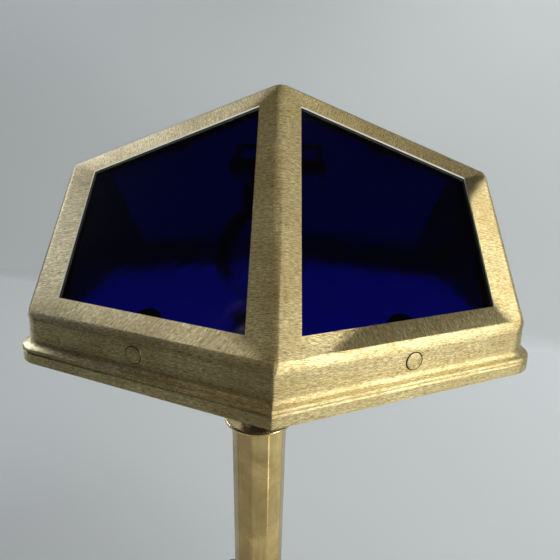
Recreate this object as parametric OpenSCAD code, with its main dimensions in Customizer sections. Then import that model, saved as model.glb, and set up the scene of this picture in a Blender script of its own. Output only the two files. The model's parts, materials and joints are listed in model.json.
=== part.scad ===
// Table lamp with a pressed brass hood, four cobalt glass panes and a ten-sided brass stem.
// Front is -Y, up is +Z, and the origin is where the stem's axis meets the table.

/* [Shade] */
// Distance from the middle of the hood to its front and rear corners
half_depth = 104; // [98:1:110]
// Distance from the middle of the hood to its side walls
half_width = 98; // [92:1:104]
// Half the length of each side wall
side_half = 60; // [56:0.5:64]
// Height of the peak above the bend where the skirt starts
peak_h = 91.3; // [86:0.1:96]
// Thickness of the brass sheet
sheet = 0.8; // [0.8:0.1:1.2]
// Width of the brass band beside the front and rear ridges
ridge_band = 9.6; // [9:0.1:11]
// Width of the band below the side hips
hip_band = 10.9; // [10:0.1:12]
// Width of the band beside the gable walls
side_band = 14.4; // [13:0.1:16]
// Width of the band above the skirt
sill_band = 9.6; // [9:0.1:11]
// Height of the upright skirt, from the bend to the step
skirt_h = 12.6; // [11:0.1:14]
// Height of the lip below the step
lip_h = 6.2; // [5:0.1:7]
// How far the lip stands out from the skirt
lip_out = 3.1; // [2:0.1:3.4]
// How far the shade sits to the right of the stem on its pivot pin
shade_offset = 8.5; // [0:0.5:8.5]

/* [Glass] */
// Thickness of each pane
glass_t = 3; // [2:0.5:3]
// How far a pane reaches behind the brass bands
glass_lap = 4.5; // [3:0.5:5]

/* [Stem] */
// Radius of the stem at its top, over the corners
stem_top_r = 14.8; // [14:0.1:15.5]
// Radius of the stem at its foot, over the corners
stem_foot_r = 13.3; // [12.5:0.1:14]
// Length of the ten-sided stem
stem_len = 140; // [100:5:180]
// Radius of the collar's rim
collar_r = 18.8; // [18:0.1:19.4]
// Height of the bend of the hood above the collar's rim
shade_rise = 78; // [78:1:84]

/* [Base] */
// Radius of the base over its corners
base_r = 78; // [74:1:90]
// Height of the whole base
base_h = 38; // [38:1:42]

/* [Lampholder and bulb] */
// Radius of the lampholder's body
holder_r = 14; // [13.5:0.1:14.5]
// Radius of the bulb's globe
globe_r = 22.5; // [22:0.1:23]

/* [Hidden] */

$fn = 64;
stem_sides = 10;
brass = "#b8944a";
dark_brass = "#7d6636";
cobalt = "#10128c";
steel = "#9aa0a6";

// Heights, from the table up
felt_t = 1.5;
plate_t = 2;
plate_top = felt_t + plate_t;
stem_top = base_h + stem_len;
rim_z = stem_top + 6;
bend_z = rim_z + shade_rise;
holder_top = bend_z - 22;
holder_foot = rim_z + 20;
globe_z = bend_z + 10;
pivot_z = bend_z + 52;
key_z = bend_z - 48;
key_r = 2.5;
key_x = holder_r + 10;

// Base
foot_wall = 3;
step_h = [12, 9];
step_r = [base_r, base_r - 12];
crown_r = [base_r - 19, 22];
base_bore_r = base_r * cos(180 / stem_sides) - 2 * foot_wall;
ballast_r = 50;
ballast_h = 15;
screw_ring_r = 57;
bushing_z = 6.9;
bushing_r = 4.2;

// Rod and its fittings
rod_r = 5;
rod_bore_r = 3.2;
rod_foot = plate_top + 3;
fit = 0.05;

// Hood: the roof falls by roof_x per millimetre sideways and roof_y forwards
rise = half_depth - side_half;
slant = norm([rise, half_width]);
roof_y = peak_h / half_depth;
roof_x = peak_h * rise / (half_depth * half_width);
roof_n = norm([1, roof_x, roof_y]);
face_turn = atan2(rise, half_width);
face_tilt = acos(1 / roof_n);
ridge_tilt = atan(roof_y);
gap = 0.2;
pane_depth = sheet + gap;
clip_depth = pane_depth + glass_t + 0.1;
clip_t = 0.9;
rivet_r = 1.5;
rivet_drop = 6;
tab_w = 13;

// Clip on the bulb, and the bridge under the peak
grip_gap = 0.3;
finger_t = 1.2;
finger_w = 9;
pin_r = 2.5;
ear_half = 4.5;
ear_span = 17;
ear_t = 2;
bridge_z = pivot_z + 8.5;
bridge_w = 8;
bridge_t = 2;

// Outline of the hood in plan, moved out by e, counter-clockwise from the front corner
function plan(e = 0) =
    let (nose = half_depth + e * slant / half_width,
         side = half_width + e,
         corner = side_half + e * (slant - rise) / half_width)
    [[0, -nose], [side, -corner], [side, corner], [0, nose], [-side, corner], [-side, -corner]];

// Height where walls moved out by e meet the roof moved out by e
function bend(e) = e * (roof_n - sqrt(roof_n * roof_n - 1));
function roof_at(x, e) = peak_h + e * roof_n - roof_x * x;
function unit(v) = v / norm(v);

// Corners of the front right roof face, seen flat from outside: its sill lies along X
face_mid = [half_width / 2, -(half_depth + side_half) / 2, 0];
face_x = [cos(face_turn), sin(face_turn), 0];
face_normal = [roof_x, -roof_y, 1] / roof_n;
face_up = cross(face_normal, face_x);
function on_face(p) = [(p - face_mid) * face_x, (p - face_mid) * face_up];
face = [
    on_face([0, -half_depth, 0]),
    on_face([half_width, -side_half, 0]),
    on_face([half_width, 0, roof_at(half_width, 0)]),
    on_face([0, 0, peak_h])
];
bands = [sill_band, side_band, hip_band, ridge_band];

// The face's outline moved in by w[i] from its side i
function inset(w) = [
    for (i = [0:3])
        let (u = unit(face[(i + 3) % 4] - face[i]),
             v = unit(face[(i + 1) % 4] - face[i]),
             s = abs(u.x * v.y - u.y * v.x))
        face[i] + (u * w[i] + v * w[(i + 3) % 4]) / s
];

module at_shade() {
    translate([shade_offset, 0, bend_z]) children();
}

// One quarter of the hood: side is 1 for right and -1 for left, end is 1 for front and -1 for rear
module quarter(side, end) {
    mirror([side < 0 ? 1 : 0, 0, 0])
        mirror([0, end < 0 ? 1 : 0, 0])
            children();
}

// The middle of a sill, with X along it and -Y out of the skirt
module at_sill() {
    translate(face_mid) rotate([0, 0, face_turn]) children();
}

// The roof face's own plane, with Z out of it
module at_face() {
    at_sill() rotate([face_tilt, 0, 0]) children();
}

module tube(r_out, r_in, h) {
    difference() {
        cylinder(r = r_out, h = h);
        translate([0, 0, -1]) cylinder(r = r_in, h = h + 2);
    }
}

module prism(r, h) {
    cylinder(r = r, h = h, $fn = stem_sides);
}

module hood(e, bottom) {
    ring = plan(e);
    top = bend(e);
    side = half_width + e;
    points = concat(
        [for (p = ring) [p.x, p.y, bottom]],
        [for (p = ring) [p.x, p.y, top]],
        [[0, 0, roof_at(0, e)], [side, 0, roof_at(side, e)], [-side, 0, roof_at(side, e)]]
    );
    polyhedron(points, [
        [0, 1, 2, 3, 4, 5],
        [0, 6, 7, 1], [1, 7, 13, 8, 2], [2, 8, 9, 3],
        [3, 9, 10, 4], [4, 10, 14, 11, 5], [5, 11, 6, 0],
        [6, 12, 13, 7], [8, 13, 12, 9], [9, 12, 14, 10], [11, 14, 12, 6]
    ]);
}

module rivet_hole() {
    at_sill() translate([0, 5, -rivet_drop]) rotate([90, 0, 0])
        cylinder(r = rivet_r + fit, h = 10);
}

// Outline of a tab of half width r that stands up from the origin and ends in a half circle
function tab(r, h) = concat([[-r, 0], [r, 0]], [for (a = [0:15:180]) [r * cos(a), h - r + r * sin(a)]]);

// ---- Lamp: base, stem, lampholder and bulb ----

module base_screw_places() {
    for (a = [0:120:240]) rotate(a) translate([screw_ring_r, 0, 0]) children();
}

// Along +Y at the height of the cord's way out
module at_cord_exit(y) {
    translate([0, y, bushing_z]) rotate([-90, 0, 0]) children();
}

module felt_pad() {
    color("#2c4a34") difference() {
        prism(base_r - 3, felt_t);
        base_screw_places() translate([0, 0, -1]) cylinder(r = 4.2, h = felt_t + 2);
    }
}

module base_plate() {
    color(steel) translate([0, 0, felt_t]) difference() {
        cylinder(r = base_bore_r - 0.5, h = plate_t);
        base_screw_places() translate([0, 0, -1]) cylinder(r = 2.1, h = plate_t + 2);
    }
}

module base_screws() {
    color(steel) base_screw_places() translate([0, 0, 0.3]) {
        cylinder(r = 3.6, h = felt_t - 0.35);
        cylinder(r = 2, h = 12);
    }
}

module base_ballast() {
    color("#3b3d40") translate([0, 0, plate_top + 0.3]) difference() {
        cylinder(r = ballast_r, h = ballast_h);
        translate([0, 0, -1]) cylinder(r = 12, h = ballast_h + 2);
        translate([0, 0, bushing_z - plate_top]) rotate([-90, 0, 0]) cylinder(r = 4.5, h = base_r);
    }
}

module base_foot() {
    color(brass) difference() {
        union() {
            translate([0, 0, felt_t]) prism(step_r[0], step_h[0] - felt_t);
            translate([0, 0, step_h[0]]) prism(step_r[1], step_h[1]);
            translate([0, 0, step_h[0] + step_h[1]])
                cylinder(r1 = crown_r[0], r2 = crown_r[1], $fn = stem_sides,
                         h = base_h - 4 - step_h[0] - step_h[1]);
            translate([0, 0, base_h - 4]) prism(crown_r[1], 4);
        }
        cylinder(r = base_bore_r, h = step_h[0] - foot_wall);
        cylinder(r = ballast_r + 4, h = step_h[0] + step_h[1] - foot_wall + 1);
        translate([0, 0, step_h[0] + step_h[1] - foot_wall])
            cylinder(r1 = ballast_r + 4, r2 = 20, h = base_h - 8 - step_h[0] - step_h[1]);
        cylinder(r = 20, h = base_h - 11);
        cylinder(r = rod_r + fit, h = base_h + 1);
        base_screw_places() cylinder(r = 2.05, h = 13);
        at_cord_exit(0) cylinder(r = bushing_r + fit, h = base_r);
    }
    color(brass) base_screw_places() translate([0, 0, plate_top + 0.1])
        tube(4.5, 2.05, step_h[0] - foot_wall - plate_top);
}

module foot_ring() {
    color(brass) translate([0, 0, base_h]) difference() {
        prism(stem_foot_r + 4.5, 5);
        translate([0, 0, 2.5]) prism(stem_foot_r + 0.3, 4);
        translate([0, 0, -1]) cylinder(r = rod_r + fit, h = 8);
    }
}

module cord_bushing() {
    start = base_bore_r - 0.4;
    flange = base_r * cos(180 / stem_sides) + 0.2 - start;
    color("#1b1b1b") at_cord_exit(start) difference() {
        union() {
            cylinder(r = bushing_r, h = flange + 1);
            translate([0, 0, flange]) cylinder(r = 5.1, h = 1.6);
        }
        translate([0, 0, -1]) cylinder(r = 3.1, h = flange + 4);
    }
}

module base_nut() {
    color(steel) translate([0, 0, base_h - 16.5]) difference() {
        cylinder(r = 9, h = 4, $fn = 6);
        translate([0, 0, -1]) cylinder(r = rod_r + fit, h = 6);
    }
}

module base_washer() {
    color(steel) translate([0, 0, base_h - 12.3]) tube(13, rod_r + fit, 1.2);
}

module stem_rod() {
    color(steel) translate([0, 0, base_h - 18])
        tube(rod_r, rod_bore_r, rim_z + 12 - base_h + 18);
}

module stem_column() {
    color(brass) translate([0, 0, base_h + 2.5]) difference() {
        cylinder(r1 = stem_foot_r, r2 = stem_top_r, h = stem_len - 2.5, $fn = stem_sides);
        translate([0, 0, -1]) cylinder(r = rod_r + fit, h = stem_len + 2);
        translate([0, 0, 8]) cylinder(r = stem_foot_r - 3.5, h = stem_len - 18.5);
    }
}

module top_collar() {
    wall = 1.6;
    color(brass) translate([0, 0, stem_top]) rotate_extrude() polygon([
        [rod_r + fit, 0], [stem_top_r, 0], [stem_top_r + 2, 1.2], [collar_r - 0.8, 4],
        [collar_r, 5.4], [collar_r, 6], [collar_r - wall, 6], [collar_r - wall - 0.7, 4.8],
        [stem_top_r, 2.4], [10, 2], [rod_r + fit, 2]
    ]);
}

module collar_nut() {
    color(steel) translate([0, 0, stem_top + 2.1]) difference() {
        cylinder(r = 9, h = 3.6, $fn = 6);
        translate([0, 0, -1]) cylinder(r = rod_r + fit, h = 6);
    }
}

module lampholder_cap() {
    color(brass) translate([0, 0, rim_z]) rotate_extrude() polygon([
        [rod_r + fit, 0], [9, 0], [9.5, 3], [holder_r - 1, 10], [holder_r, 14], [holder_r, 19.8],
        [holder_r - 1, 19.8], [holder_r - 1, 14.5], [holder_r - 2, 11], [8.5, 4.5], [rod_r + fit, 4]
    ]);
}

module lampholder_shell() {
    height = holder_top - holder_foot;
    color(brass) translate([0, 0, holder_foot]) difference() {
        union() {
            cylinder(r = holder_r, h = height);
            cylinder(r = holder_r + 0.6, h = 2);
            translate([0, 0, height - 2.5]) cylinder(r = holder_r + 0.6, h = 2.5);
        }
        translate([0, 0, -1]) cylinder(r = holder_r - 1, h = height + 2);
        translate([0, 0, key_z - holder_foot]) rotate([0, 90, 0])
            cylinder(r = key_r + fit, h = 2 * holder_r);
    }
}

module lampholder_insulator() {
    color("#e6e0d2") difference() {
        union() {
            translate([0, 0, holder_foot + 1]) cylinder(r = holder_r - 1.2, h = 5);
            translate([0, 0, holder_foot + 5.5])
                cylinder(r = holder_r - 1.2, h = holder_top - holder_foot - 7);
        }
        translate([0, 0, holder_foot + 9]) cylinder(r = 7.5, h = 60);
        translate([0, 0, key_z]) rotate([0, 90, 0]) cylinder(r = 3, h = 2 * holder_r);
        for (x = [-4, 4]) translate([x, 0, 0]) cylinder(r = 1.2, h = holder_foot + 20);
    }
}

module centre_contact() {
    color(brass) translate([0, 0, holder_foot + 9]) {
        cylinder(r = 2.6, h = 0.8);
        translate([0, 0, 0.8]) cylinder(r = 1.6, h = 1.2);
    }
}

module side_contact() {
    color(brass) translate([0, 0, holder_foot + 14]) tube(7.45, 7.2, 12);
}

module terminal_screws() {
    color(steel) for (x = [-4, 4]) translate([x, 0, holder_foot - 4.8]) {
        cylinder(r = 2.2, h = 1.8);
        cylinder(r = 1.1, h = 9);
    }
}

module bulb_cap() {
    foot = holder_foot + 14.5;
    color("#c9c6bb") translate([0, 0, foot]) difference() {
        union() {
            cylinder(r = 6.9, h = holder_top + 1 - foot);
            for (i = [0:5]) translate([0, 0, 1 + 3 * i]) cylinder(r = 7.1, h = 1.5);
        }
        translate([0, 0, 1]) cylinder(r = 6.3, h = 60);
    }
}

module bulb_tip() {
    color("#30302e") translate([0, 0, holder_foot + 11.1]) {
        cylinder(r1 = 2.5, r2 = 5.5, h = 3.35);
    }
}

// Profile of the bulb's glass: a globe that runs down into a narrow neck
function globe_outline(r, neck_r, neck_z) =
    let (start = asin(neck_r / (r * 0.92)) + 14)
    concat(
        [[0, r]],
        [for (a = [10:10:180 - start]) [r * sin(a), r * cos(a)]],
        [[neck_r + 0.6, -r * 1.06], [neck_r, -r * 1.25], [neck_r, neck_z]]
    );

module bulb_glass() {
    neck = holder_top + 1.2 - globe_z;
    outer = globe_outline(globe_r, 6.2, neck);
    inner = globe_outline(globe_r - 0.8, 5.4, neck);
    color([0.95, 0.95, 0.92, 0.6]) translate([0, 0, globe_z]) rotate_extrude()
        polygon(concat(outer, [for (i = [len(inner) - 1:-1:0]) inner[i]]));
}

module bulb_mount() {
    foot = holder_top + 1.5;
    color([0.8, 0.85, 0.85, 0.7]) translate([0, 0, foot]) {
        cylinder(r = 4, h = 6);
        cylinder(r = 1.6, h = globe_z - foot - 4.5);
        translate([0, 0, globe_z - foot - 5]) cylinder(r = 7, h = 1);
    }
}

module bulb_filament() {
    color("#8c8c8c") translate([0, 0, globe_z - 4]) {
        for (x = [-5.5, 5.5]) translate([x, 0, 0]) cylinder(r = 0.5, h = 9);
        translate([-6.5, 0, 7]) rotate([0, 90, 0]) cylinder(r = 0.8, h = 13);
    }
}

// ---- Switch on the lampholder ----

module switch_spindle() {
    color(brass) translate([8, 0, key_z]) rotate([0, 90, 0]) cylinder(r = key_r, h = key_x - 4.2);
}

module switch_key() {
    color(dark_brass) translate([key_x, 0, key_z]) difference() {
        union() {
            rotate([0, 90, 0]) cylinder(r = 3.6, h = 6);
            translate([5, -1.4, 0]) rotate([-90, 0, 0]) linear_extrude(2.8) hull() {
                circle(r = 3);
                translate([7, 3]) circle(r = 2.5);
                translate([7, -3]) circle(r = 2.5);
            }
        }
        translate([-1, 0, 0]) rotate([0, 90, 0]) cylinder(r = key_r + fit, h = 5);
    }
}

// ---- Spring clip that sits on the bulb ----

module clip_hub() {
    top = globe_z + globe_r + grip_gap + finger_t;
    color(brass) difference() {
        union() {
            translate([0, 0, top - 0.4]) cylinder(r = 8, h = pivot_z - top - 8);
            translate([-ear_half, -5, top + 1]) cube([2 * ear_half, 10, pivot_z - top - 1]);
            translate([-ear_half, 0, pivot_z]) rotate([0, 90, 0]) cylinder(r = 5, h = 2 * ear_half);
        }
        translate([-10, 0, pivot_z]) rotate([0, 90, 0]) cylinder(r = pin_r + fit, h = 20);
        translate([0, 0, globe_z]) sphere(r = globe_r + grip_gap + finger_t);
    }
}

module clip_fingers() {
    r_in = globe_r + grip_gap;
    color(brass) translate([0, 0, globe_z]) intersection() {
        difference() {
            sphere(r = r_in + finger_t);
            sphere(r = r_in);
        }
        union() for (a = [45, 135]) rotate(a)
            translate([-40, -finger_w / 2, -7]) cube([80, finger_w, 60]);
    }
}

// ---- Shade ----

module shade_shell() {
    low = -skirt_h - lip_h;
    color(brass) at_shade() difference() {
        union() {
            hood(0, -skirt_h - 1);
            translate([0, 0, low]) linear_extrude(lip_h) polygon(plan(lip_out));
        }
        hood(-sheet, low - 5);
        translate([0, 0, low - 5]) linear_extrude(5 + lip_h - sheet)
            polygon(plan(lip_out - sheet));
        for (side = [-1, 1], end = [-1, 1]) quarter(side, end) {
            at_face() translate([0, 0, -3]) linear_extrude(5) polygon(inset(bands));
            rivet_hole();
        }
    }
}

module pane(side, end) {
    color(cobalt) at_shade() quarter(side, end) at_face()
        translate([0, 0, -pane_depth - glass_t])
            linear_extrude(glass_t) polygon(inset([for (w = bands) w - glass_lap]));
}

module sill_clip(side, end) {
    wall = sheet + 0.05;
    shelf_z = -clip_depth + 0.2;
    color(dark_brass) at_shade() quarter(side, end) difference() {
        union() {
            at_face() translate([0, 0.2, -clip_depth - clip_t]) linear_extrude(clip_t)
                polygon(tab(tab_w / 2, sill_band + 4));
            at_sill() translate([1 - tab_w / 2, wall, -11.5]) cube([tab_w - 2, clip_t, 7.7]);
            at_sill() translate([0.5 - tab_w / 2, wall + 0.2, shelf_z]) cube([tab_w - 1, 2.6, 0.9]);
        }
        rivet_hole();
    }
}

module rivet(side, end) {
    color(brass) at_shade() quarter(side, end) at_sill()
        translate([0, 0, -rivet_drop]) rotate([90, 0, 0]) {
            translate([0, 0, -sheet - clip_t - 0.3]) cylinder(r = rivet_r, h = sheet + clip_t + 0.32);
            difference() {
                translate([0, 0, 0.02]) cylinder(r = 3.6, h = 0.35);
                translate([0, 0, 0.2]) tube(2.9, 2.3, 1);
            }
        }
}

// Tabs under one hip, which hold the upper edges of its front and rear panes
module hip_clip(side) {
    hip = (face[2] + face[3]) / 2;
    run = unit(face[3] - face[2]);
    spin = atan2(run.y, run.x);
    fold = acos((1 + roof_x * roof_x - roof_y * roof_y) / (roof_n * roof_n)) / 2;
    start = clip_depth * tan(fold);
    mid = [half_width / 2, 0, roof_at(half_width / 2, 0)];
    drop = clip_depth / cos(fold);
    color(dark_brass) at_shade() {
        for (end = [-1, 1]) quarter(side, end) at_face()
            translate([hip.x, hip.y, -clip_depth - clip_t]) rotate(spin)
                linear_extrude(clip_t) translate([0, start]) polygon(tab(tab_w / 2, hip_band + 5 - start));
        quarter(side, 1) translate(mid - [0, 0, drop]) cylinder(r = 1.6, h = drop - 4.2);
    }
}

module shade_bridge() {
    ridge_gap = roof_x * bridge_w / 2 + 0.07;
    strap = (roof_at(0, -sheet) - ridge_gap - (bridge_z + bridge_t - bend_z)) / roof_y;
    color(dark_brass) difference() {
        union() {
            translate([shade_offset - bridge_w / 2, -strap, bridge_z])
                cube([bridge_w, 2 * strap, bridge_t]);
            for (end = [-1, 1]) translate([shade_offset, end * strap, bridge_z + bridge_t])
                mirror([0, end < 0 ? 1 : 0, 0]) rotate([-ridge_tilt, 0, 0])
                    translate([-bridge_w / 2, 0, -1.6]) cube([bridge_w, 12, 1.6]);
            translate([shade_offset - ear_span - ear_t, -6, bridge_z])
                cube([2 * (ear_span + ear_t), 12, bridge_t]);
            for (x = [-ear_span - ear_t, ear_span]) {
                translate([shade_offset + x, -6, pivot_z])
                    cube([ear_t, 12, bridge_z - pivot_z + 1]);
                translate([shade_offset + x, 0, pivot_z]) rotate([0, 90, 0])
                    cylinder(r = 6, h = ear_t);
            }
        }
        translate([shade_offset - 30, 0, pivot_z]) rotate([0, 90, 0])
            cylinder(r = pin_r + fit, h = 60);
    }
}

module pivot_pin() {
    reach = ear_span + ear_t;
    color(steel) translate([shade_offset, 0, pivot_z]) rotate([0, 90, 0]) {
        translate([0, 0, -reach - 4]) cylinder(r = pin_r, h = 2 * reach + 5);
        translate([0, 0, reach + 0.05]) cylinder(r = 4.6, h = 2.2);
    }
}

module pivot_nut() {
    color(steel) translate([shade_offset - ear_span - ear_t - 3.1, 0, pivot_z]) rotate([0, 90, 0])
        difference() {
            cylinder(r = 4.8, h = 3, $fn = 6);
            translate([0, 0, -1]) cylinder(r = pin_r + fit, h = 5);
        }
}

module pin_spacer(from, to) {
    color(brass) translate([from, 0, pivot_z]) rotate([0, 90, 0]) tube(4, pin_r + fit, to - from);
}

felt_pad();
base_plate();
base_screws();
base_ballast();
base_foot();
foot_ring();
cord_bushing();
base_nut();
base_washer();
stem_rod();
stem_column();
top_collar();
collar_nut();
lampholder_cap();
lampholder_shell();
lampholder_insulator();
centre_contact();
side_contact();
terminal_screws();
bulb_cap();
bulb_tip();
bulb_glass();
bulb_mount();
bulb_filament();
switch_spindle();
switch_key();
clip_hub();
clip_fingers();
shade_shell();
pane(-1, 1);  // pane_front_left
pane(1, 1);  // pane_front_right
pane(-1, -1);  // pane_rear_left
pane(1, -1);  // pane_rear_right
sill_clip(-1, 1);  // sill_clip_front_left
sill_clip(1, 1);  // sill_clip_front_right
sill_clip(-1, -1);  // sill_clip_rear_left
sill_clip(1, -1);  // sill_clip_rear_right
rivet(-1, 1);  // rivet_front_left
rivet(1, 1);  // rivet_front_right
rivet(-1, -1);  // rivet_rear_left
rivet(1, -1);  // rivet_rear_right
hip_clip(-1);  // hip_clip_left
hip_clip(1);  // hip_clip_right
shade_bridge();
pivot_pin();
pivot_nut();
pin_spacer(shade_offset - ear_span + 0.05, -ear_half - grip_gap);  // pin_spacer_short
pin_spacer(ear_half + grip_gap, shade_offset + ear_span - 0.05);  // pin_spacer_long
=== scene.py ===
"""Looks for a table lamp: a pressed brass hood with four cobalt glass panes on a brass stem.

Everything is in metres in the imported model's frame: the front is -Y, and Z = 0 is the table.
"""

import json
import math

import bmesh
import bpy
from mathutils import Matrix, Vector


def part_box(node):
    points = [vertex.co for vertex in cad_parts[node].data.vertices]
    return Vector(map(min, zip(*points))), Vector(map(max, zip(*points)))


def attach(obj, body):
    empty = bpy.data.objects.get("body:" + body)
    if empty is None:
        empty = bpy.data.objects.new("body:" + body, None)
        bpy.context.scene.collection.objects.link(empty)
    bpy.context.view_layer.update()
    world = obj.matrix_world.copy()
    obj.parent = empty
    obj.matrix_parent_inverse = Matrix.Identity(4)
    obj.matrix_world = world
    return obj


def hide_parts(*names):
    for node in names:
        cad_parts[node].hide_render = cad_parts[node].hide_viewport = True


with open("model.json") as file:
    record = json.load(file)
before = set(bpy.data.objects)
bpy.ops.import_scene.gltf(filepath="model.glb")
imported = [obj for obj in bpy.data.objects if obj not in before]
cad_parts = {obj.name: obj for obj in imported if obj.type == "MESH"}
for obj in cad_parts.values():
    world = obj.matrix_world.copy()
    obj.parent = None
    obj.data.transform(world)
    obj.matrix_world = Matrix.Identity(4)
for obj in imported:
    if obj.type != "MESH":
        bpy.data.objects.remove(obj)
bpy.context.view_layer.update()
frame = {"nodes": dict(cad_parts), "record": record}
NODES = frame["nodes"]

# ---- Hood sizes, from the level of its bend ----
HALF_DEPTH = 0.104
HALF_WIDTH = 0.098
SIDE_HALF = 0.060  # half the width of a gable at the bend
PEAK = 0.0913
SHEET = 0.0008
BANDS = (0.0096, 0.0144, 0.0109, 0.0096)  # beside the sill, gable, hip and ridge
LIP_OUT = 0.0031
LIP_LOW = 0.0188
RIVET_DROP = 0.006
shell_low, shell_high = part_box("shade_shell")
HOOD = Vector(((shell_low.x + shell_high.x) / 2, 0, shell_high.z - PEAK))

RISE = HALF_DEPTH - SIDE_HALF  # how far the front corner stands before the side corners
ROOF_Y = PEAK / HALF_DEPTH  # slopes of the roof, along Y and along X
ROOF_X = PEAK * RISE / (HALF_DEPTH * HALF_WIDTH)
GABLE = PEAK - ROOF_X * HALF_WIDTH  # height of a gable's top
TURN = math.atan2(RISE, HALF_WIDTH)  # of the front walls from the X axis
CORNER_STEPS = 7


# ---- Mesh helpers ----
def link(name, mesh):
    obj = bpy.data.objects.new(name, mesh)
    bpy.context.scene.collection.objects.link(obj)
    return obj


def mesh_object(name, verts, faces):
    mesh = bpy.data.meshes.new(name)
    mesh.from_pydata([tuple(v) for v in verts], [], faces)
    mesh.validate()
    return link(name, mesh)


def bake_modifiers(obj):
    """Replaces the object's mesh by what its modifiers make of it."""
    depsgraph = bpy.context.evaluated_depsgraph_get()
    mesh = bpy.data.meshes.new_from_object(obj.evaluated_get(depsgraph))
    obj.modifiers.clear()
    obj.data = mesh
    return obj


def bevel(obj, width, segments, angle):
    mod = obj.modifiers.new("bevel", "BEVEL")
    mod.width = width
    mod.segments = segments
    mod.limit_method = "ANGLE"
    mod.angle_limit = math.radians(angle)


def smooth(obj, angle):
    for poly in obj.data.polygons:
        poly.use_smooth = True
    obj.data.set_sharp_from_angle(angle=math.radians(angle))


def clean_normals(obj, angle):
    """Smooth shading in which the large flat faces stay truly flat."""
    smooth(obj, angle)
    mod = obj.modifiers.new("normals", "WEIGHTED_NORMAL")
    mod.keep_sharp = True
    mod.weight = 50
    mod.thresh = 0.001


def soften(obj, width, segments, angle, smooth_angle):
    """Rounds the edges for good, then shades the result smoothly."""
    bevel(obj, width, segments, angle)
    bake_modifiers(obj)
    clean_normals(obj, smooth_angle)


def lathe(name, profile, sides=96, turn=0.0, closed=True):
    """A turned solid from (radius, height) points; closed joins the last point to the first."""
    verts, rings = [], []
    for radius, height in profile:
        if radius < 1e-7:
            rings.append([len(verts)] * sides)
            verts.append((0, 0, height))
            continue
        rings.append(list(range(len(verts), len(verts) + sides)))
        for i in range(sides):
            a = turn + math.tau * i / sides
            verts.append((radius * math.cos(a), radius * math.sin(a), height))
    faces = []
    rows = len(profile) if closed else len(profile) - 1
    for r in range(rows):
        low, high = rings[r], rings[(r + 1) % len(profile)]
        for i in range(sides):
            j = (i + 1) % sides
            corners = []
            for index in (low[i], low[j], high[j], high[i]):
                if index not in corners:
                    corners.append(index)
            if len(corners) > 2:
                faces.append(corners)
    obj = mesh_object(name, verts, faces)
    fix_normals(obj)
    return obj


def fix_normals(obj):
    bm = bmesh.new()
    bm.from_mesh(obj.data)
    bmesh.ops.remove_doubles(bm, verts=bm.verts, dist=1e-7)
    bmesh.ops.recalc_face_normals(bm, faces=bm.faces)
    bm.to_mesh(obj.data)
    bm.free()


def arc(cx, cy, r, start, end, steps):
    """Points on an arc, angles in degrees."""
    angles = [math.radians(start + (end - start) * i / steps) for i in range(steps + 1)]
    return [(cx + r * math.cos(a), cy + r * math.sin(a)) for a in angles]


def settle(obj, body, slot, *nodes):
    """Puts a new piece on its body and in the place of the CAD nodes it shows; the slot is not
    used.
    """
    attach(obj, body)
    if nodes:
        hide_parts(*nodes)


# ---- Hood geometry ----
def plan(out=0.0):
    """The hood's outline in plan, moved out, counter-clockwise from the front corner."""
    slant = math.hypot(RISE, HALF_WIDTH)
    nose = HALF_DEPTH + out * slant / HALF_WIDTH
    side = HALF_WIDTH + out
    corner = SIDE_HALF + out * (slant - RISE) / HALF_WIDTH
    right = [(0, -nose), (side, -corner), (side, corner)]
    return [Vector(p) for p in right] + [Vector((-x, -y)) for x, y in right]


def rounded_plan(out, front_r, side_r):
    """plan() with its corners as arcs of CORNER_STEPS steps each."""
    corners = plan(out)
    points = []
    for k, corner in enumerate(corners):
        into = (corner - corners[k - 1]).normalized()
        away = (corners[(k + 1) % 6] - corner).normalized()
        n_in, n_out = Vector((into.y, -into.x)), Vector((away.y, -away.x))
        r = front_r if k in (0, 3) else side_r  # 0 is the front corner, 3 the rear one
        centre = corner - (n_in + n_out) * (r / (1 + n_in.dot(n_out)))
        total = n_in.angle(n_out)
        for j in range(CORNER_STEPS + 1):
            a = total * j / CORNER_STEPS
            n = n_in * math.cos(a) + Vector((-n_in.y, n_in.x)) * math.sin(a)
            points.append(centre + n * r)
    return points


def quarter_corners(side, end):
    """A roof face's corners: front corner, side corner, hip's foot and peak.

    side is 1 on the right and -1 on the left, end is 1 at the front and -1 at the rear.
    """
    front_right = (
        (0, -HALF_DEPTH, 0), (HALF_WIDTH, -SIDE_HALF, 0), (HALF_WIDTH, 0, GABLE), (0, 0, PEAK),
    )
    return [Vector((x * side, y * end, z)) for x, y, z in front_right]


def inset(corners, widths):
    """Corners moved in by widths[i] from side i, in their own plane."""
    moved = []
    for i, corner in enumerate(corners):
        u = (corners[i - 1] - corner).normalized()
        v = (corners[(i + 1) % 4] - corner).normalized()
        s = u.cross(v).length
        moved.append(corner + (u * widths[i] + v * widths[i - 1]) / s)
    return moved


def roof_normal(side, end):
    return Vector((ROOF_X * side, -ROOF_Y * end, 1)).normalized()


QUARTERS = {
    "front_right": (1, 1), "front_left": (-1, 1), "rear_right": (1, -1), "rear_left": (-1, -1),
}

# Edge roundings as the distance cut back from each sharp edge
CUT = {
    "ridge": 0.0014, "hip": 0.0008, "gable": 0.0056,
    "bend": 0.0026, "front": 0.0010, "side": 0.0066,
}
# Corner radii of the skirt in plan, and what they come to on the lip
FRONT_R, LIP_FRONT_R = 0.0023, 0.0008
SIDE_R, SIDE_R_SPREAD = 0.0102, 0.65  # the spread is per metre outward
# The section of the skirt, as radii and depths below the bend
SKIRT_STRAIGHT = 0.0085
COVE_R, COVE_DOWN = 0.0021, 0.0101
STEP_R, STEP_DOWN = 0.0010, 0.0133
GROOVE_IN, GROOVE_DOWN = 0.0005, 0.0140


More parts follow.
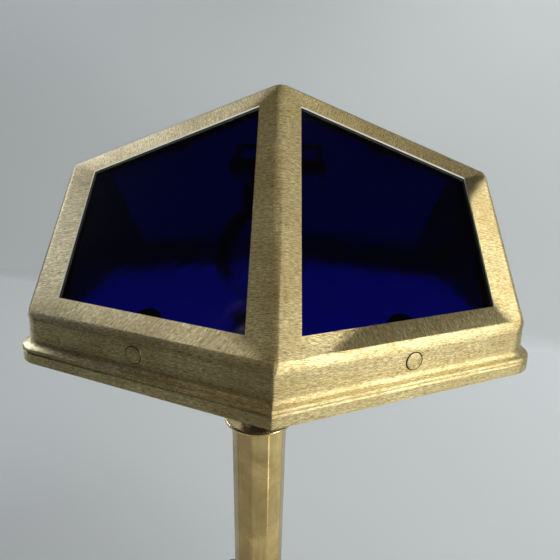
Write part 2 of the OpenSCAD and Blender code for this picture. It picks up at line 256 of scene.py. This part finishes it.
def cage_edge_kind(a, b):
    """Which kind of edge of the sharp hood runs from a to b, or None."""
    flat = 1e-6
    if abs(a.x) < flat and abs(b.x) < flat:
        return "ridge" if abs(a.z - b.z) > 0.05 else ("front" if abs(a.y - b.y) < flat else None)
    if abs(a.y) < flat and abs(b.y) < flat:
        return "hip"
    if abs(abs(a.x) - HALF_WIDTH) < flat and abs(abs(b.x) - HALF_WIDTH) < flat:
        if abs(a.y - b.y) < flat and min(a.z, b.z) < -flat:
            return "side"
        if max(a.z, b.z) > GABLE - flat and min(a.z, b.z) > -flat:
            return "gable"
        return None
    if abs(a.z) < flat and abs(b.z) < flat:
        return "bend"
    return None


def hood_cage():
    """The hood down to the end of its straight skirt: windows open, edges rounded by CUT."""
    bm = bmesh.new()

    def face(points):
        bm.faces.new([bm.verts.new(p) for p in points])

    for side, end in QUARTERS.values():
        corners = quarter_corners(side, end)
        hole = inset(corners, BANDS)
        for i in range(4):
            j = (i + 1) % 4
            face((corners[i], corners[j], hole[j], hole[i]))
    outline = [Vector((p.x, p.y, 0)) for p in plan()]
    drop = Vector((0, 0, -SKIRT_STRAIGHT))
    for k, start in enumerate(outline):
        finish = outline[(k + 1) % 6]
        top = [finish, start]
        if k in (1, 4):  # the right and left walls rise to a gable
            top = [finish, Vector((start.x, 0, GABLE)), start]
        face([start + drop, finish + drop] + top)
    bmesh.ops.remove_doubles(bm, verts=bm.verts, dist=1e-6)
    bmesh.ops.recalc_face_normals(bm, faces=bm.faces)
    weight = bm.edges.layers.float.new("bevel_weight_edge")
    widest = max(CUT.values())
    for edge in bm.edges:
        kind = cage_edge_kind(edge.verts[0].co, edge.verts[1].co)
        if kind:
            edge[weight] = CUT[kind] / widest
    mesh = bpy.data.meshes.new("shade_hood")
    bm.to_mesh(mesh)
    bm.free()
    obj = link("shade_hood", mesh)
    mod = obj.modifiers.new("round", "BEVEL")
    mod.limit_method = "WEIGHT"
    mod.width = widest
    mod.segments = CORNER_STEPS
    mod.use_clamp_overlap = False
    return bake_modifiers(obj)


def lip_profile():
    """The section below the straight skirt: (out, down, front corner's radius, side corner's)."""
    rows = [(0, SKIRT_STRAIGHT), (0, COVE_DOWN - 0.0003)]
    rows += [(COVE_R - x, COVE_DOWN + y) for x, y in arc(0, 0, COVE_R, 8, 82, 5)]
    rows += [(COVE_R + x, STEP_DOWN - y) for x, y in arc(0, 0, STEP_R, 90, 5, 5)]
    rows += [(LIP_OUT, GROOVE_DOWN - 0.0004), (LIP_OUT - GROOVE_IN, GROOVE_DOWN)]
    rows.append((LIP_OUT - GROOVE_IN + 0.0001, GROOVE_DOWN + 0.0003))
    rows.append((LIP_OUT, GROOVE_DOWN + 0.0006))
    rows += [(LIP_OUT, LIP_LOW - 0.0006), (LIP_OUT - 0.0003, LIP_LOW - 0.0001)]
    full = []
    for out, down in rows:
        share = out / LIP_OUT
        front_r = FRONT_R * (1 - share) + LIP_FRONT_R * share
        full.append((out, down, front_r, SIDE_R + out * SIDE_R_SPREAD))
    return full


def add_skirt(obj):
    """Carries the hood's open lower edge down through the cove, the step and the lip."""
    bm = bmesh.new()
    bm.from_mesh(obj.data)
    free = {v for v in bm.verts if v.co.z < -SKIRT_STRAIGHT + 1e-5}
    first, *rows = lip_profile()
    target = [Vector((p.x, p.y, -SKIRT_STRAIGHT)) for p in rounded_plan(first[0], *first[2:])]
    ring = []
    for point in target:
        nearest = min(free, key=lambda v: (v.co - point).length)
        free.discard(nearest)
        ring.append(nearest)
    for vert, point in zip(ring, target):
        vert.co = point
    for out, down, front_r, side_r in rows:
        points = rounded_plan(out, front_r, side_r)
        lower = [bm.verts.new((p.x, p.y, -down)) for p in points]
        count = len(ring)
        for i in range(count):
            j = (i + 1) % count
            bm.faces.new((ring[i], lower[i], lower[j], ring[j]))
        ring = lower
    bmesh.ops.recalc_face_normals(bm, faces=bm.faces)
    bm.to_mesh(obj.data)
    bm.free()


def build_hood():
    """The pressed sheet, brushed outside; shade is painted inside and a highlight on its cut edges.
    """
    obj = hood_cage()
    add_skirt(obj)
    for key in ("shade", "inside", "edge"):
        obj.data.materials.append(M[key])
    if sum(p.normal.z for p in obj.data.polygons if p.center.z > 0.01) < 0:
        obj.data.flip_normals()
    mod = obj.modifiers.new("sheet", "SOLIDIFY")
    mod.thickness = SHEET
    mod.offset = -1
    mod.use_even_offset = True
    mod.use_rim = True
    # The inside faces get the dark brass that paints shade.
    mod.material_offset = 1
    # The cut rim gets the pale brass that paints a highlight.
    mod.material_offset_rim = 2
    bake_modifiers(obj)
    soften(obj, 0.00018, 2, 62, 40)
    brush_map(obj)
    obj.data.transform(Matrix.Translation(HOOD))
    settle(obj, "shade", "shade_brass", "shade_shell")


# ---- Brush strokes ----
SLANT_LEFT = math.radians(27)  # of the strokes on the sill bands, from the slope's own line
SLANT_RIGHT = math.radians(4)
OFF_ROOF = 9  # a band depth that always picks the level strokes


def face_frame():
    """Origin, X along the sill and Y up the slope of the front right roof face."""
    mid = Vector((HALF_WIDTH / 2, -(HALF_DEPTH + SIDE_HALF) / 2, 0))
    x_axis = Vector((math.cos(TURN), math.sin(TURN), 0))
    return mid, x_axis, roof_normal(1, 1).cross(x_axis)


def flat_point(p):
    mid, x_axis, y_axis = face_frame()
    return Vector(((p - mid).dot(x_axis), (p - mid).dot(y_axis)))


FLAT_CORNERS = [flat_point(c) for c in quarter_corners(1, 1)]


def band_depths(flat):
    """How far a point is into each band, in band widths: sill, gable, hip, ridge."""
    depths = []
    for i, width in enumerate(BANDS):
        run = (FLAT_CORNERS[(i + 1) % 4] - FLAT_CORNERS[i]).normalized()
        depths.append((flat - FLAT_CORNERS[i]).dot(Vector((-run.y, run.x))) / width)
    return depths


def stroke_uv(flat, strokes, shift):
    """U across the strokes and V along them, in metres."""
    return (flat.x * strokes.y - flat.y * strokes.x + shift, flat.dot(strokes) + shift)


def on_roof(q, n):
    """Whether a face at q belongs to the sloping roof, not to the skirt, a gable or the bend."""
    slope = n.z if n.y < 0.2 else -n.z
    in_bend = q.z < 0.003 and abs(n.z) < 0.66
    return q.z > -0.0014 and slope > 0.3 and abs(n.x) < 0.8 and not in_bend


def brush_map(obj):
    """Maps the brush strokes onto the hood.

    One UV layer is for strokes across the ridge and one for strokes up the slope. Two attributes
    say how deep in the bands each corner is, which picks the layer. The four quarters fold onto
    the front right one.
    """
    mesh = obj.data
    mesh.uv_layers.new(name="level_strokes")
    mesh.uv_layers.new(name="upright_strokes")
    mesh.attributes.new("side_depths", "FLOAT_VECTOR", "CORNER")
    mesh.attributes.new("end_depths", "FLOAT_VECTOR", "CORNER")
    level, upright = mesh.uv_layers["level_strokes"], mesh.uv_layers["upright_strokes"]
    sides, ends = mesh.attributes["side_depths"], mesh.attributes["end_depths"]
    ridge = (FLAT_CORNERS[0] - FLAT_CORNERS[3]).normalized()
    hip = (FLAT_CORNERS[2] - FLAT_CORNERS[3]).normalized()
    across_ridge = Vector((-ridge.y, ridge.x))
    across_hip = Vector((-hip.y, hip.x))
    sill_axis = Vector((math.cos(TURN), math.sin(TURN), 0))
    side_start = Vector((HALF_WIDTH, -SIDE_HALF, 0)).dot(sill_axis)
    middle = sum((c.y for c in FLAT_CORNERS), 0.0) / 4
    for poly in mesh.polygons:
        centre, normal = poly.center, poly.normal
        fold = Vector((1 if centre.x >= 0 else -1, -1 if centre.y >= 0 else 1, 1))
        q = Vector(a * b for a, b in zip(centre, fold))
        n = Vector(a * b for a, b in zip(normal, fold))
        shift = fold.x * 0.5 + fold.y * 1.3  # so that no two quarters have the same strokes
        roof = on_roof(q, n)
        slant = SLANT_LEFT if centre.x < 0 else SLANT_RIGHT
        reach = 1.0 if centre.x > 0 else 0.0  # the right ridge strokes reach further
        lower = flat_point(q).y < middle
        upward = Vector((-math.sin(slant), math.cos(slant))) if lower else across_hip
        by_gable = q.x > HALF_WIDTH - 0.004 and n.x > 0.75 or q.y > -SIDE_HALF
        for loop_index in poly.loop_indices:
            co = mesh.vertices[mesh.loops[loop_index].vertex_index].co
            p = Vector(a * b for a, b in zip(co, fold))
            flat = flat_point(p)
            if roof:
                sill_in, gable_in, hip_in, ridge_in = band_depths(flat)
                level.data[loop_index].uv = stroke_uv(flat, across_ridge, shift)
                upright.data[loop_index].uv = stroke_uv(flat, upward, shift + 0.21)
                sides.data[loop_index].vector = (ridge_in * 0.7, gable_in * (1.2 + reach), 0)
                ends.data[loop_index].vector = (sill_in + reach, hip_in, 0)
            else:
                length = side_start + p.y + SIDE_HALF if by_gable else p.dot(sill_axis)
                high = p.z - 0.4 * max(0.0, n.z) * (p.x * 0.4 - p.y)
                level.data[loop_index].uv = (high, length + shift)
                upright.data[loop_index].uv = (high, length + shift)
                sides.data[loop_index].vector = (0, 0, 0)
                ends.data[loop_index].vector = (OFF_ROOF, OFF_ROOF, 0)


# ---- Materials ----
class Nodes:
    """Short calls for building one material's node tree."""

    def __init__(self, name):
        self.material = bpy.data.materials.new(name)
        self.material.use_nodes = True
        self.tree = self.material.node_tree
        self.shader = self.tree.nodes["Principled BSDF"]

    def add(self, kind, **values):
        node = self.tree.nodes.new("ShaderNode" + kind)
        for key, value in values.items():
            setattr(node, key, value)
        return node

    def wire(self, source, target):
        self.tree.links.new(source, target)

    def set(self, **values):
        for key, value in values.items():
            self.shader.inputs[key.replace("_", " ")].default_value = value

    def coords(self, uv=None):
        if uv:
            return self.add("UVMap", uv_map=uv).outputs["UV"]
        return self.add("TexCoord").outputs["Object"]

    def scaled(self, vector, scale):
        node = self.add("Mapping")
        node.inputs["Scale"].default_value = scale
        self.wire(vector, node.inputs["Vector"])
        return node.outputs["Vector"]

    def noise(self, vector, scale=1.0, detail=3.0, rough=0.5, distortion=0.0):
        node = self.add("TexNoise")
        node.inputs["Scale"].default_value = scale
        node.inputs["Detail"].default_value = detail
        node.inputs["Roughness"].default_value = rough
        node.inputs["Distortion"].default_value = distortion
        self.wire(vector, node.inputs["Vector"])
        return node.outputs["Fac"]

    def span(self, value, low, high, to_low=0.0, to_high=1.0):
        node = self.add("MapRange")
        node.inputs["From Min"].default_value = low
        node.inputs["From Max"].default_value = high
        node.inputs["To Min"].default_value = to_low
        node.inputs["To Max"].default_value = to_high
        self.wire(value, node.inputs["Value"])
        return node.outputs["Result"]

    def maths(self, operation, a, b):
        node = self.add("Math", operation=operation)
        for socket, value in zip(node.inputs, (a, b)):
            if isinstance(value, (int, float)):
                socket.default_value = value
            else:
                self.wire(value, socket)
        return node.outputs["Value"]

    def blend(self, factor, a, b):
        """Colour a where the factor is 0 and b where it is 1."""
        node = self.add("Mix", data_type="RGBA")
        self.wire(factor, node.inputs["Factor"])
        for socket, value in ((node.inputs[6], a), (node.inputs[7], b)):
            if isinstance(value, tuple):
                socket.default_value = value + (1,)
            else:
                self.wire(value, socket)
        return node.outputs[2]

    def lerp(self, factor, a, b, kind="FLOAT"):
        node = self.add("Mix", data_type=kind)
        self.wire(factor, node.inputs["Factor"])
        first = {"FLOAT": 2, "VECTOR": 4}[kind]
        self.wire(a, node.inputs[first])
        self.wire(b, node.inputs[first + 1])
        return node.outputs[{"FLOAT": 0, "VECTOR": 1}[kind]]

    def bump(self, height, strength, distance):
        node = self.add("Bump")
        node.inputs["Strength"].default_value = strength
        node.inputs["Distance"].default_value = distance
        self.wire(height, node.inputs["Height"])
        self.wire(node.outputs["Normal"], self.shader.inputs["Normal"])


BRASS_DARK = (0.34, 0.25, 0.09)
BRASS_BRIGHT = (0.95, 0.83, 0.46)
BRASS_TARNISH = (0.37, 0.25, 0.09)


def brushed_brass():
    """Brush strokes that change direction raggedly between bands, under soft clouds of tarnish."""
    n = Nodes("brushed_brass")
    place = n.coords()
    nearest = []
    for name in ("side_depths", "end_depths"):
        depths = n.add("SeparateXYZ")
        n.wire(n.add("Attribute", attribute_name=name).outputs["Vector"], depths.inputs[0])
        nearest.append(n.maths("MINIMUM", depths.outputs["X"], depths.outputs["Y"]))
    edge = n.maths("SUBTRACT", *nearest)
    ragged = n.maths("MULTIPLY", n.maths("SUBTRACT", n.noise(place, 1900, 3, 0.8), 0.5), 3.2)
    turn = n.span(n.maths("ADD", edge, ragged), -0.02, 0.02)
    grain, streaks, tangents = [], [], []
    for layer in ("level_strokes", "upright_strokes"):
        uv = n.coords(uv=layer)
        fine = n.noise(n.scaled(uv, (3300, 520, 1)), 1, 4, 0.8)
        broad = n.noise(n.scaled(uv, (1300, 90, 1)), 1, 3, 0.6)
        fine_part, broad_part = n.maths("MULTIPLY", fine, 0.78), n.maths("MULTIPLY", broad, 0.22)
        streaks.append(n.maths("ADD", fine_part, broad_part))
        grain.append(fine)
        tangent = n.add("Tangent", direction_type="UV_MAP", uv_map=layer)
        tangents.append(tangent.outputs["Tangent"])
    streak = n.lerp(turn, *streaks)
    cloud = n.span(n.noise(place, 34, 4, 0.6), 0.44, 0.70)
    bright = n.blend(n.span(streak, 0.42, 0.58), BRASS_DARK, BRASS_BRIGHT)
    colour = n.blend(n.maths("MULTIPLY", cloud, 0.45), bright, BRASS_TARNISH)
    n.wire(colour, n.shader.inputs["Base Color"])
    n.set(Metallic=1.0, Anisotropic=0.88)
    rough = n.maths("ADD", n.span(streak, 0.35, 0.65, 0.46, 0.34), n.maths("MULTIPLY", cloud, 0.08))
    n.wire(rough, n.shader.inputs["Roughness"])
    n.bump(n.lerp(turn, *grain), 0.8, 0.00014)
    n.wire(n.lerp(turn, *tangents, kind="VECTOR"), n.shader.inputs["Tangent"])
    return n.material


def satin_brass(name, tint, dark, rough, cloud_scale=38, painted_flank_shade=0.0, metal=1.0):
    """Smooth brass with soft blotches and faint upright lines; painted shade can darken its flanks.
    """
    n = Nodes(name)
    place = n.coords()
    cloud = n.span(n.noise(place, cloud_scale, 4, 0.6, 0.4), 0.40, 0.68)
    lines = n.noise(n.scaled(place, (900, 900, 45)), 1, 2, 0.5)
    colour = n.blend(n.maths("MULTIPLY", cloud, 0.6), tint, dark)
    colour = n.blend(n.span(lines, 0.35, 0.7, 0.0, 0.2), colour, dark)
    if painted_flank_shade:
        # Painted shade: faces turned towards -X, and those turned far towards +X, are darkened by
        # their direction in the world.
        facing = n.add("SeparateXYZ")
        n.wire(n.add("NewGeometry").outputs["Normal"], facing.inputs[0])
        colour = n.blend(n.span(facing.outputs["X"], -0.75, 0.25, painted_flank_shade, 0.0), colour, dark)
        colour = n.blend(n.span(facing.outputs["X"], 0.72, 0.95, 0.0, painted_flank_shade), colour, dark)
    n.wire(colour, n.shader.inputs["Base Color"])
    n.set(Metallic=metal)
    n.wire(n.maths("ADD", n.maths("MULTIPLY", cloud, 0.12), rough), n.shader.inputs["Roughness"])
    n.bump(lines, 0.12, 0.00005)
    return n.material


def cobalt_glass(name, blue, rough, ripple):
    """Deep blue glass; the front panes are old rolled glass, which blurs what is behind them."""
    n = Nodes(name)
    n.set(Base_Color=(0.0016, 0.0014, blue, 1), Roughness=rough, IOR=1.5, Transmission_Weight=1.0)
    n.bump(n.noise(n.coords(), 90, 2, 0.5), ripple, 0.0008)
    return n.material


def clear_glass():
    n = Nodes("bulb_glass")
    n.set(Base_Color=(0.96, 0.96, 0.94, 1), Roughness=0.12, IOR=1.45, Transmission_Weight=0.92)
    n.bump(n.noise(n.coords(), 400, 2), 0.02, 0.0003)
    return n.material


def plain(name, colour, rough, metallic=0.0, grain=300, strength=0.15, depth=0.0002, spread=0.25):
    """A quiet surface: slight mottling, grain and uneven gloss."""
    n = Nodes(name)
    place = n.coords()
    mottle = n.noise(place, grain * 0.2, 4, 0.6)
    dark = tuple(c * (1 - spread) for c in colour)
    n.wire(n.blend(n.span(mottle, 0.35, 0.65), colour, dark), n.shader.inputs["Base Color"])
    n.set(Metallic=metallic)
    n.wire(n.span(mottle, 0.3, 0.7, rough - 0.05, rough + 0.08), n.shader.inputs["Roughness"])
    n.bump(n.noise(place, grain, 3, 0.6), strength, depth)
    return n.material


def wall_paint(name, colour, glow=0.0):
    """Matt paint; a little glow stands for light bounced around the room."""
    n = Nodes(name)
    place = n.coords()
    shade = tuple(c * 0.96 for c in colour)
    mottled = n.blend(n.span(n.noise(place, 3, 3), 0.3, 0.7), colour, shade)
    n.wire(mottled, n.shader.inputs["Base Color"])
    n.set(Roughness=0.75, Emission_Color=colour + (1,), Emission_Strength=glow)
    n.bump(n.noise(place, 260, 2), 0.05, 0.0005)
    return n.material


M = {
    "shade": brushed_brass(),
    # The stem and its foot ring get painted shade on their flanks.
    "stem": satin_brass("stem_brass", (0.97, 0.73, 0.31), (0.32, 0.22, 0.09), 0.22, painted_flank_shade=0.65),
    "holder": satin_brass("holder_brass", (0.80, 0.64, 0.33), (0.48, 0.35, 0.15), 0.26, 60),
    # Pale, half-matt brass for the cut edges: a painted highlight.
    "edge": satin_brass("cut_edge_painted_highlight", (0.96, 0.92, 0.80), (0.85, 0.78, 0.6), 0.36, metal=0.3),
    # Dark brass for the hood's inside: painted shade.
    "inside": satin_brass("inside_painted_shade", (0.20, 0.14, 0.07), (0.07, 0.05, 0.03), 0.5),
    # Dark brass: painted shade in the rivets' grooves, and the dark strips behind the glass.
    "groove": satin_brass("groove_brass", (0.10, 0.075, 0.04), (0.04, 0.03, 0.015), 0.6),
    "clip": satin_brass("clip_brass", (0.50, 0.38, 0.18), (0.20, 0.13, 0.06), 0.4),
    "cobalt": cobalt_glass("cobalt_glass", 0.145, 0.12, 0.3),
    # Rear panes: the same glass in a lighter blue, painted light that keeps views through two panes
    # bright.
    "cobalt_rear": cobalt_glass("cobalt_glass_rear", 0.20, 0.08, 0.05),
    "bulb": clear_glass(),
    "cap": plain("cap_metal", (0.72, 0.71, 0.67), 0.32, 1.0),
    "steel": plain("steel", (0.17, 0.16, 0.15), 0.5, 1.0),
    "iron": plain("cast_iron", (0.09, 0.09, 0.095), 0.7, 0.6, 180, 0.6, 0.0008),
    "porcelain": plain("porcelain", (0.84, 0.82, 0.75), 0.18, 0.0, 90, 0.05),
    "plastic": plain("black_plastic", (0.02, 0.02, 0.02), 0.42),
    "felt": plain("felt", (0.05, 0.13, 0.07), 0.95, 0.0, 1400, 0.8, 0.0006, 0.4),
}
SLOT_MATERIAL = {
    "shade_brass": "shade", "stem_brass": "stem", "holder_brass": "holder", "clip_brass": "clip",
    "cobalt_glass": "cobalt", "bulb_glass": "bulb", "cap_metal": "cap", "steel": "steel",
    "iron": "iron", "porcelain": "porcelain", "black_plastic": "plastic", "felt": "felt",
}
NODE_SLOT = {entry["node"]: entry["material_slot"] for entry in frame["record"]["subparts"]}


def paint(obj, key):
    """Gives the whole object one material."""
    obj.data.materials.clear()
    obj.data.materials.append(M[key])


# How far the edges of these CAD nodes are rounded
SOFT_EDGES = {
    "base_foot": 0.0006, "switch_key": 0.0003, "felt_pad": 0.0004,
    "shade_bridge": 0.0003, "lampholder_shell": 0.0002, "lampholder_cap": 0.0002,
}


def dress_cad_nodes():
    """Every carried-over CAD node gets its material, soft edges and clean shading."""
    for name, obj in NODES.items():
        key = SLOT_MATERIAL[NODE_SLOT[name]]
        paint(obj, "holder" if key == "shade" else key)
        if name in SOFT_EDGES:
            bevel(obj, SOFT_EDGES[name], 2, 30)
        clean_normals(obj, 34)


# ---- Pieces ----
GLASS_TOP = SHEET + 0.0002  # below the roof's outer face
GLASS_LOW = SHEET + 0.0032
GLASS_LAP = 0.0045  # how far the glass reaches under the bands
STRIP_TOP = SHEET + 0.0034
STRIP_THICK = 0.0004
STRIP_LAP = 0.003
STRIP_SHOWS = 0.0022  # how far the strip reaches into the window


def build_pane(name, side, end):
    """One flat pane, lying against the inside of the hood."""
    outline = inset(quarter_corners(side, end), [band - GLASS_LAP for band in BANDS])
    normal = roof_normal(side, end)
    verts = [p - normal * depth + HOOD for depth in (GLASS_TOP, GLASS_LOW) for p in outline]
    faces = [(0, 1, 2, 3), (7, 6, 5, 4)]
    faces += [(i, (i + 1) % 4, 4 + (i + 1) % 4, 4 + i) for i in range(4)]
    obj = mesh_object("glass_" + name, verts, faces)
    fix_normals(obj)
    soften(obj, 0.0003, 2, 40, 60)
    # The rear panes get the lighter blue of painted light.
    paint(obj, "cobalt" if end > 0 else "cobalt_rear")
    settle(obj, "shade", "cobalt_glass", "pane_" + name)


def build_glazing_edge(name, side, end):
    """The dark strip behind the glass along the hip and the gable, which shows in the window."""
    corners = quarter_corners(side, end)
    sill, gable, hip, ridge = BANDS
    outer = inset(corners, [sill, gable - STRIP_LAP, hip - STRIP_LAP, ridge])
    inner = inset(corners, [sill, gable + STRIP_SHOWS, hip + STRIP_SHOWS, ridge])
    normal = roof_normal(side, end)
    rim = outer[1:] + inner[:0:-1]
    depths = (STRIP_TOP, STRIP_TOP + STRIP_THICK)
    verts = [p - normal * depth + HOOD for depth in depths for p in rim]
    faces = [(0, 1, 4, 5), (1, 2, 3, 4), (11, 10, 7, 6), (10, 9, 8, 7)]
    faces += [(i, 6 + i, 6 + (i + 1) % 6, (i + 1) % 6) for i in range(6)]
    obj = mesh_object("glazing_edge_" + name, verts, faces)
    fix_normals(obj)
    paint(obj, "groove")
    settle(obj, "shade", "clip_brass")


def build_rivet(name, side, end):
    """A flush brass head in a thin groove painted dark as shade, on the skirt."""
    head, groove = 0.0031, 0.0035
    profile = [(0, 0.0003), (head - 0.0002, 0.0003), (head, 0.00022), (head + 0.00005, 0.00003),
               (groove, 0.00003), (groove + 0.00005, 0.0001), (groove + 0.0001, 0.00003),
               (groove + 0.0001, -0.0004), (0, -0.0004)]
    obj = lathe("rivet_" + name + "_head", profile, 64, closed=False)
    paint(obj, "shade")
    obj.data.materials.append(M["groove"])
    # The groove's faces get the dark brass: painted shade.
    for poly in obj.data.polygons:
        reach = max(obj.data.vertices[i].co.xy.length for i in poly.vertices)
        poly.material_index = 1 if head + 0.00002 < reach < groove + 0.00002 else 0
    outward = Vector((math.sin(TURN) * side, -math.cos(TURN) * end, 0))
    up = Vector((0, 0, 1))
    place = Vector((HALF_WIDTH / 2 * side, -(HALF_DEPTH + SIDE_HALF) / 2 * end, -RIVET_DROP))
    turn = Matrix((up.cross(outward), up, outward)).transposed().to_4x4()
    obj.data.transform(Matrix.Translation(place) @ turn)
    fix_normals(obj)
    clean_normals(obj, 40)
    brush_map(obj)
    obj.data.transform(Matrix.Translation(HOOD))
    settle(obj, "shade", "shade_brass", "rivet_" + name)


STEM_SIDES = 10
STEM_TURN = math.radians(5.5)
STEM_TAPER = 0.0015  # how much narrower the foot of the stem is, in radius
STEM_BORE = 0.006
NECK = 0.0027  # how far the stem's own faces carry on up the collar


def build_stem():
    """The ten-sided column with the collar's neck, slightly wider at the top."""
    low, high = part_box("stem_column")
    foot_r, top_r, top = high.x - STEM_TAPER, high.x, high.z + NECK
    profile = [(STEM_BORE, low.z), (foot_r, low.z), (top_r, top), (STEM_BORE, top)]
    obj = lathe("stem", profile, STEM_SIDES, STEM_TURN)
    soften(obj, 0.0008, 3, 25, 50)
    paint(obj, "stem")
    settle(obj, "lamp", "stem_brass", "stem_column")


def build_foot_ring():
    """A low ten-sided ring round the foot of the stem, with a chamfered top."""
    low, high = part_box("foot_ring")
    foot_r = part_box("stem_column")[1].x - STEM_TAPER
    outer, inner = high.x - 0.0016, 0.010
    outline = [(inner, 0), (outer, 0), (outer, 0.0007), (outer - 0.0012, 0.0014),
               (foot_r + 0.0003, 0.0015), (foot_r, 0.0026), (inner, 0.0026)]
    profile = [(radius, low.z + up) for radius, up in outline]
    obj = lathe("foot_ring_step", profile, STEM_SIDES, STEM_TURN)
    soften(obj, 0.0002, 2, 25, 50)
    paint(obj, "stem")
    settle(obj, "lamp", "stem_brass", "foot_ring")


def build_collar():
    """The shallow dish the holder stands in, with a rolled rim."""
    low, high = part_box("top_collar")
    neck_r, rim_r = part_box("stem_column")[1].x, high.x
    floor, roll = low.z + NECK, 0.0009
    profile = [(STEM_BORE, floor - 0.0004), (neck_r - 0.0004, floor - 0.0004)]
    profile.append((rim_r - 0.0020, floor + 0.0009))
    profile += arc(rim_r - roll, high.z - roll, roll, -60, 180, 10)
    profile += [(rim_r - 0.0030, floor + 0.0012), (STEM_BORE, floor + 0.0001)]
    dish = lathe("collar_dish", profile)
    clean_normals(dish, 50)
    paint(dish, "holder")
    settle(dish, "lamp", "stem_brass", "top_collar")


build_hood()
for quarter_name, (side, end) in QUARTERS.items():
    build_pane(quarter_name, side, end)
    build_rivet(quarter_name, side, end)
    build_glazing_edge(quarter_name, side, end)
build_stem()
build_foot_ring()
build_collar()
dress_cad_nodes()


# ---- Stage ----
def build_stage():
    """A pale table with a pale wall behind it, which comes nearer on the right."""
    front, back, high, bend_r, half = -2.2, 0.64, 0.66, 0.02, 2.6
    profile = [(front, 0), *arc(back - bend_r, bend_r, bend_r, -90, 0, 12), (back, high)]
    verts = [(x, y, z) for y, z in profile for x in (-half, half)]
    faces = [(i, i + 1, i + 3, i + 2) for i in range(0, len(verts) - 2, 2)]
    floor = mesh_object("floor", verts, faces)
    floor.rotation_euler.z = math.radians(-17.8)
    smooth(floor, 60)
    floor.data.materials.append(wall_paint("floor_paint", (0.625, 0.65, 0.65), 0.31))


def hide_from(obj, *rays):
    """Keeps the object out of sight of these kinds of ray."""
    for ray in rays:
        setattr(obj, "visible_" + ray, False)


def add_light(name, place, aim, size, power, colour):
    """A rectangular lamp facing the point aim."""
    data = bpy.data.lights.new(name, "AREA")
    data.shape = "RECTANGLE"
    data.size, data.size_y = size
    data.energy = power
    data.color = colour
    lamp = bpy.data.objects.new(name, data)
    bpy.context.scene.collection.objects.link(lamp)
    lamp.location = place
    direction = Vector(aim) - Vector(place)
    lamp.rotation_euler = direction.to_track_quat("-Z", "Y").to_euler()
    return lamp


def add_flag(name, place, aim, size):
    """A black card that only shows in reflections."""
    x, y = size[0] / 2, size[1] / 2
    card = mesh_object(name, [(-x, -y, 0), (x, -y, 0), (x, y, 0), (-x, y, 0)], [(0, 1, 2, 3)])
    card.location = place
    card.rotation_euler = (Vector(aim) - Vector(place)).to_track_quat("Z", "Y").to_euler()
    card.data.materials.append(wall_paint("flag_cloth", (0.012, 0.012, 0.012)))
    hide_from(card, "camera", "diffuse", "shadow", "transmission")


def light_reflections():
    """The lights that the brass and the glass mirror. Matt surfaces take nothing from them."""
    for name, place, size, power, colour in (
            ("window", (1.06, -0.63, 0.83), (0.5, 0.6), 14.2, (1.0, 0.98, 0.95)),
            ("left_wall", (-0.90, 0.62, 0.85), (0.6, 0.4), 7, (0.71, 0.77, 1.0)),
            ("top", (0.18, 0.30, 1.41), (0.3, 0.3), 1.5, (1.0, 0.94, 0.84)),
            ("left_fill", (-0.54, -0.48, 1.23), (0.4, 0.4), 0.9, (1.0, 0.95, 0.86))):
        light = add_light(name, place, (0, 0, 0.28), size, power, colour)
        hide_from(light, "diffuse", "transmission")
    low_place, mid_stem = (0.12, -0.14, 0.012), (0, 0, 0.15)
    glint = add_light("stem_glint", low_place, mid_stem, (0.03, 0.08), 0.025, (1.0, 0.97, 0.9))
    hide_from(glint, "camera", "diffuse", "transmission")


def light_matt_surfaces():
    """Light from the wall, the ceiling and the table, which only matt surfaces take up."""
    for name, place, aim, size, power, spread in (
            ("wall_wash", (0.85, -0.15, 1.0), (0.35, 0.64, 0.46), (0.7, 0.6), 7.2, 180),
            ("ceiling", (-0.1, 0.5, 2.0), (0, 0.55, 0), (1.8, 0.8), 5, 180),
            ("table_bounce", (0.05, -0.42, 0.04), (0.03, -0.04, 0.33), (0.3, 0.2), 0.5, 60)):
        light = add_light(name, place, aim, size, power, (0.96, 0.985, 1.0))
        light.data.spread = math.radians(spread)
        hide_from(light, "camera", "glossy", "transmission")


def build_world():
    """A pale background for the camera, and only a trace of it for every other ray."""
    bpy.context.scene.view_settings.view_transform = "Standard"
    world = bpy.data.worlds.new("studio")
    bpy.context.scene.world = world
    world.use_nodes = True
    background = world.node_tree.nodes["Background"]
    background.inputs["Color"].default_value = (0.80, 0.86, 0.90, 1)
    seen = world.node_tree.nodes.new("ShaderNodeLightPath")
    level = world.node_tree.nodes.new("ShaderNodeMapRange")
    level.inputs["To Min"].default_value = 0.018
    level.inputs["To Max"].default_value = 0.55
    world.node_tree.links.new(seen.outputs["Is Camera Ray"], level.inputs["Value"])
    world.node_tree.links.new(level.outputs["Result"], background.inputs["Strength"])


def place_camera():
    """The hand-held close view, from just above the hood and looking down on it."""
    yaw, pitch, roll = math.radians(-0.33), math.radians(16.52), math.radians(1.09)
    place = HOOD + Vector((0.0027, -0.2464, 0.0712))
    ahead = math.cos(pitch)
    forward = Vector((math.sin(yaw) * ahead, math.cos(yaw) * ahead, -math.sin(pitch)))
    right = Vector((math.cos(yaw), -math.sin(yaw), 0))
    up = right.cross(forward)
    rolled_right = right * math.cos(roll) + up * math.sin(roll)
    rolled_up = up * math.cos(roll) - right * math.sin(roll)
    turn = Matrix((rolled_right, rolled_up, -forward)).transposed()
    data = bpy.data.cameras.new("camera")
    data.sensor_width = 36
    data.lens = 33.1
    data.clip_start = 0.01
    camera = bpy.data.objects.new("camera", data)
    bpy.context.scene.collection.objects.link(camera)
    camera.matrix_world = Matrix.Translation(place) @ turn.to_4x4()
    bpy.context.scene.camera = camera


build_stage()
light_reflections()
light_matt_surfaces()
add_flag("front_flag", (-0.42, -0.52, 0.2), (0, 0, 0.26), (0.9, 1.0))
build_world()
place_camera()
